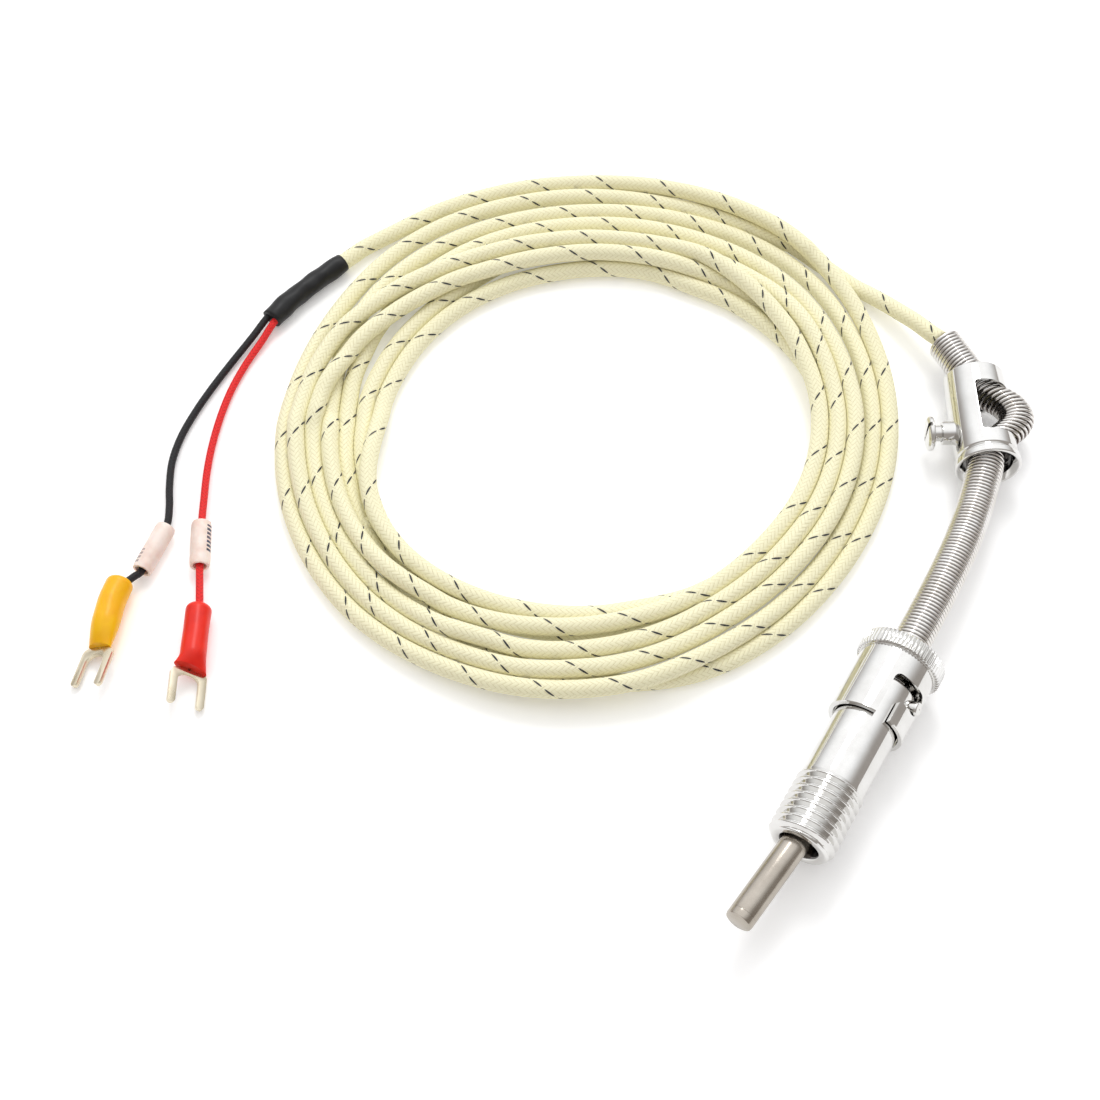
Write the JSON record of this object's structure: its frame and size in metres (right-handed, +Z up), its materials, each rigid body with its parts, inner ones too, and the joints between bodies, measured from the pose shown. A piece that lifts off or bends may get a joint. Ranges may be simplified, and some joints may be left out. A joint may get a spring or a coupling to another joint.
{
  "type": "thermocouple",
  "caption": "Bayonet thermocouple: threaded adapter, slotted cap, sprung metal sheath, spring armour with a screw clamp, coiled braided cable and fork-ended leads.",
  "frame": {"origin": "on the plane the object lies on, under the middle of the rigid part from probe tip to spring end", "axes": "+Y along the adapter's axis towards the cable, +Z up, the coil on the -X side"},
  "size_m": [0.1487, 0.1523, 0.0154],
  "materials": {
    "chrome": "polished",
    "spring_steel": "drawn wire",
    "stainless": "brushed",
    "ceramic": "matt",
    "thermo_positive": "drawn wire",
    "thermo_negative": "drawn wire",
    "cable_braid": "braided glass fibre",
    "shrink_black": "satin",
    "lead_black": "satin",
    "lead_red": "satin",
    "marker": "satin",
    "crimp_yellow": "gloss",
    "crimp_red": "gloss",
    "tinned": "tinned"
  },
  "bodies": {
    "cable_assembly": {"armour_spring": "spring_steel", "clamp_sleeve": "chrome", "cable_in_spring": "cable_braid", "cable_lead_in": "cable_braid", "cable_coil": "cable_braid", "cable_tail": "cable_braid", "heat_shrink_sleeve": "shrink_black", "lead_black": "lead_black", "lead_red": "lead_red", "marker_sleeve_black": "marker", "marker_sleeve_red": "marker", "terminal_sleeve_yellow": "crimp_yellow", "terminal_sleeve_red": "crimp_red", "fork_terminal_yellow": "tinned", "fork_terminal_red": "tinned"},
    "cap": {"bayonet_cap": "chrome"},
    "adapter": {"bayonet_adapter": "chrome", "adapter_pin_right": "chrome", "adapter_pin_left": "chrome"},
    "probe": {"probe_sheath": "stainless", "sheath_tip_plug": "stainless", "spring_stop_collar": "stainless", "ceramic_insulator": "ceramic", "thermoelement_positive": "thermo_positive", "thermoelement_negative": "thermo_negative", "measuring_junction": "thermo_positive"},
    "screw": {"clamp_screw": "chrome"}
  },
  "joints": [
    {"name": "cap_turn", "type": "hinge", "parent": "cable_assembly", "child": "cap", "pos_m": [0.00828, -0.01698, 0.0077], "axis": [0, 1, 0], "range_deg": [0, 44]},
    {"name": "adapter_push", "type": "slide", "parent": "cable_assembly", "child": "adapter", "axis": [0, 1, 0], "range_m": [0, 0.0013], "stiffness_N_per_m": 600},
    {"name": "probe_plunge", "type": "slide", "parent": "cable_assembly", "child": "probe", "axis": [0.1045, 0.9942, -0.0262], "range_m": [0, 0.0025], "stiffness_N_per_m": 800, "deforming": ["armour_spring", "cable_in_spring"]},
    {"name": "clamp_screw_turn", "type": "hinge", "parent": "cable_assembly", "child": "screw", "pos_m": [-0.00688, 0.04072, 0.00615], "axis": [-0.8517, -0.524, 0], "range_deg": [0, 180]}
  ]
}
